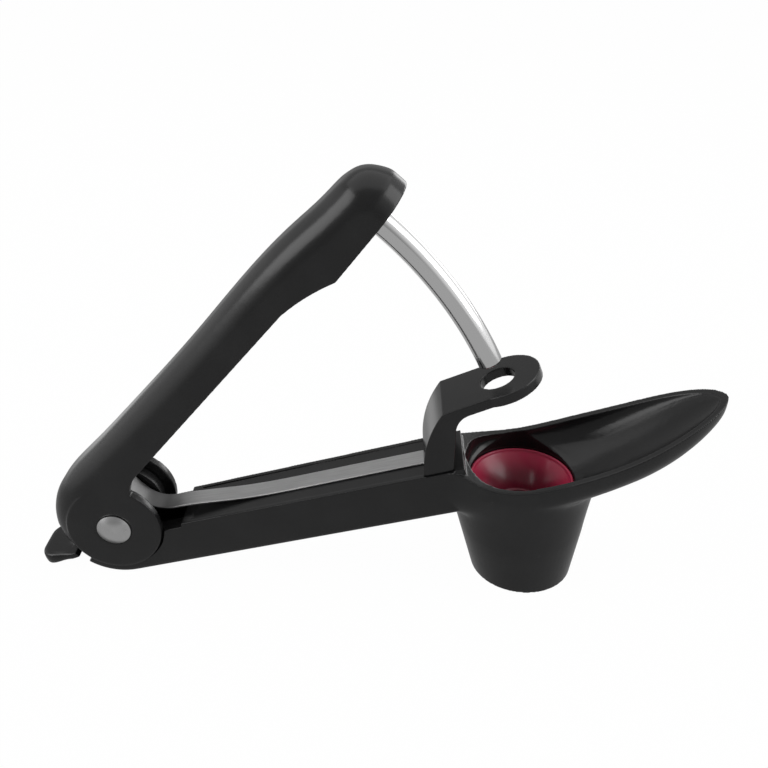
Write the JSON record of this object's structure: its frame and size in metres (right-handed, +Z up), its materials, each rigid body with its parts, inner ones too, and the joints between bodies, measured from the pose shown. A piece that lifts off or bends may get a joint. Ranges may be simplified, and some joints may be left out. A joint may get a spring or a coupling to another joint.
{
  "type": "olive pitter",
  "caption": "Plier-like olive pitter: sprung handle with a bent plunger rod, ring plate, soft cup over a flared chute, spout tray and thumb lock.",
  "frame": {"origin": "centre of the bounding box at the level that the chute's rim and the hinge stand on", "axes": "+X from the hinge towards the spout, +Y across the tool along the pivot axis, +Z up"},
  "size_m": [0.1846, 0.0318, 0.1128],
  "materials": {
    "black_plastic": "gloss",
    "red_insert": "gloss",
    "chrome_rod": "polished",
    "spring_steel": "satin",
    "steel": "satin"
  },
  "bodies": {
    "frame": {"lower_arm": "black_plastic", "cup_insert": "red_insert", "stripper_arm": "black_plastic", "stripper_screw": "steel", "leaf_spring": "spring_steel", "pivot_sleeve": "steel", "lock_pin": "steel"},
    "handle": {"upper_handle": "black_plastic", "plunger_rod": "chrome_rod", "pivot_rivet": "steel", "rivet_washer": "steel"},
    "lock": {"lock_lever": "black_plastic"}
  },
  "joints": [
    {"name": "handle_squeeze", "type": "hinge", "parent": "frame", "child": "handle", "pos_m": [-0.06835, 0, 0.0162], "axis": [0, 1, 0], "range_deg": [0, 26.3], "stiffness_Nm_per_rad": 0.5, "springref_deg": -17.19, "deforming": ["leaf_spring"]},
    {"name": "lock_flip", "type": "hinge", "parent": "frame", "child": "lock", "pos_m": [-0.0764, 0, 0.01097], "axis": [0, 1, 0], "range_deg": [0, 50]}
  ]
}
